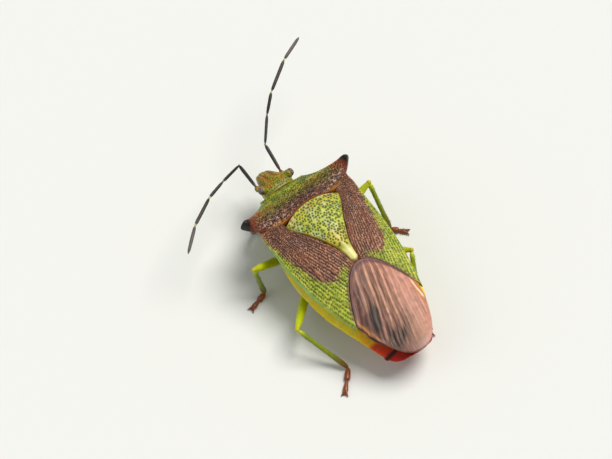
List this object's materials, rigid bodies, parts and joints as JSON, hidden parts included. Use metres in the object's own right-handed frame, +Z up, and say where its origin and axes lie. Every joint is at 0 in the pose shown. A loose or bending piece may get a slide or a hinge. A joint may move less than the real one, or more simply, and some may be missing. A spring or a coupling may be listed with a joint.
{
  "type": "shield bug",
  "caption": "Life-size hawthorn shield bug standing still: pointed shoulders, a pitted shield and wing cases, clear wing ends with raised veins, long jointed feelers and bent legs.",
  "frame": {"origin": "middle of the footprint's bounding box, on the floor under the soles", "axes": "+Z up, +Y towards the tail (the head faces -Y), +X towards the bug's own left side"},
  "size_m": [0.0146, 0.021, 0.0052],
  "materials": {
    "shield_shell": "polished horny shell with fine pits",
    "scutellum_shell": "polished horny shell with fine pits",
    "wing_case_shell": "satin horny shell with fine pits",
    "wing_membrane": "thin glossy film with raised veins",
    "belly_shell": "smooth glossy shell",
    "rear_shell": "smooth glossy shell",
    "leg_shell": "smooth glossy shell",
    "foot_shell": "satin shell with short hairs",
    "feeler_horn": "satin dark horn",
    "eye_lens": "glossy dark lens"
  },
  "bodies": {
    "root": {"abdomen": "belly_shell", "abdomen_tip": "rear_shell", "beak": "feeler_horn", "eye_left": "eye_lens", "eye_right": "eye_lens", "feeler_left_1": "feeler_horn", "feeler_left_2": "feeler_horn", "feeler_left_3": "feeler_horn", "feeler_left_4": "feeler_horn", "feeler_left_5": "feeler_horn", "feeler_right_1": "feeler_horn", "feeler_right_2": "feeler_horn", "feeler_right_3": "feeler_horn", "feeler_right_4": "feeler_horn", "feeler_right_5": "feeler_horn", "femur_fore_left": "leg_shell", "femur_fore_right": "leg_shell", "femur_hind_left": "leg_shell", "femur_hind_right": "leg_shell", "femur_mid_left": "leg_shell", "femur_mid_right": "leg_shell", "foot_fore_left": "foot_shell", "foot_fore_right": "foot_shell", "foot_hind_left": "foot_shell", "foot_hind_right": "foot_shell", "foot_mid_left": "foot_shell", "foot_mid_right": "foot_shell", "head": "shield_shell", "hip_fore_left": "leg_shell", "hip_fore_right": "leg_shell", "hip_hind_left": "leg_shell", "hip_hind_right": "leg_shell", "hip_mid_left": "leg_shell", "hip_mid_right": "leg_shell", "membrane_left": "wing_membrane", "membrane_right": "wing_membrane", "pronotum": "shield_shell", "prothorax": "shield_shell", "scutellum": "scutellum_shell", "shin_fore_left": "leg_shell", "shin_fore_right": "leg_shell", "shin_hind_left": "leg_shell", "shin_hind_right": "leg_shell", "shin_mid_left": "leg_shell", "shin_mid_right": "leg_shell", "thorax": "belly_shell", "wing_case_left": "wing_case_shell", "wing_case_right": "wing_case_shell"}
  },
  "joints": []
}
